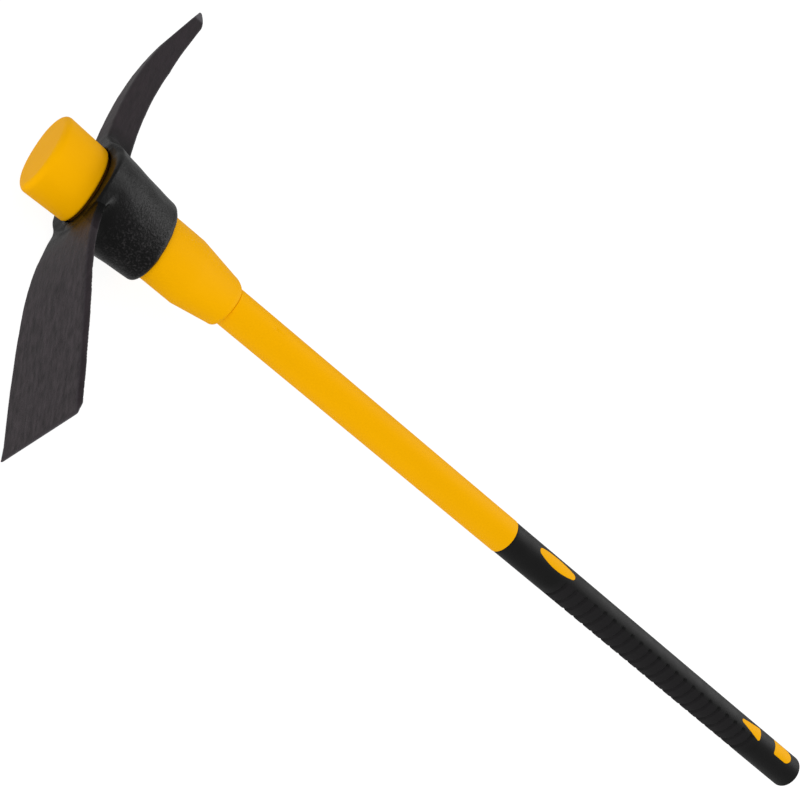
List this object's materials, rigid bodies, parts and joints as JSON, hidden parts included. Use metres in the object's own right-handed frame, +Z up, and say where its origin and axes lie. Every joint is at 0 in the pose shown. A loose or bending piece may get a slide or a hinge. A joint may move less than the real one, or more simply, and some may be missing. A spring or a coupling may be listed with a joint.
{
  "type": "pick mattock",
  "caption": "Two-handed digging tool: forged head with a broad adze blade and a tapered pick arm, wedged on a jacketed fibreglass handle with a ribbed rubber grip.",
  "frame": {"origin": "under the middle of the tool's box as it lies on its side, at the level of the adze blade's lower edge", "axes": "+X along the handle towards the cap, +Y towards the adze's cutting edge, +Z up across the blade's width"},
  "size_m": [0.915, 0.486, 0.08],
  "materials": {
    "head": "thin black lacquer over forged steel, satin, with forging scale round the eye",
    "moulding": "satin yellow polypropylene",
    "core": "pultruded glass fibre in resin",
    "grip": "matt black soft rubber"
  },
  "bodies": {
    "handle": {"eye_plug": "moulding", "fibreglass_core": "core", "shaft_jacket": "moulding", "grip_sleeve": "grip"},
    "head": {"mattock_head": "head"}
  },
  "joints": [
    {"name": "head_slide", "type": "slide", "parent": "handle", "child": "head", "axis": [-1, 0, 0], "range_m": [0, 0.9]}
  ]
}
